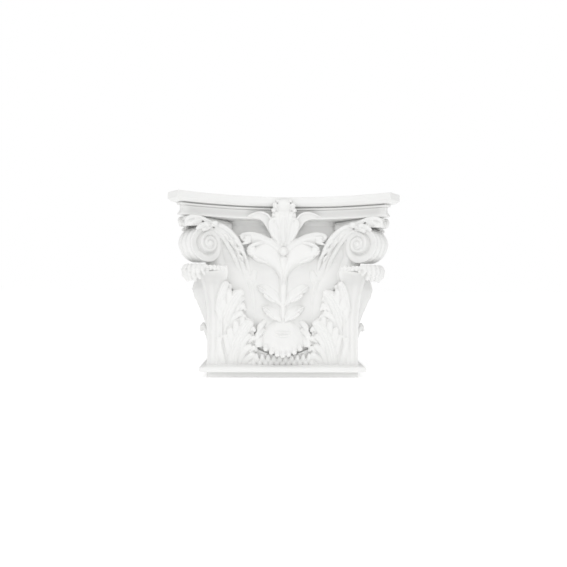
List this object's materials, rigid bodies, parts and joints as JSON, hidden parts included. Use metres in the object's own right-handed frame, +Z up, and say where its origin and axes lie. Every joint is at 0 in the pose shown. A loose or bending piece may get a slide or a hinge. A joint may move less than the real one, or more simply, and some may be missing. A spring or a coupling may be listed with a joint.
{
  "type": "corinthian pilaster capital",
  "caption": "Corinthian half capital for a pilaster, with hollow-sided abacus, corner volutes, acanthus leaves and a flat back",
  "frame": {"origin": "centre of the bounding box in x and y, on the underside of the bottom fillet", "axes": "+X runs along the wall to the capital's left-to-right width, +Y points into the wall, +Z up; the ornament faces -Y"},
  "size_m": [0.31, 0.11, 0.253],
  "materials": {
    "cast_white": "matte white, very slightly uneven, read from its look as primed cast resin; plaster would look much the same"
  },
  "bodies": {
    "root": {"pilaster_capital": "cast_white"}
  },
  "joints": []
}
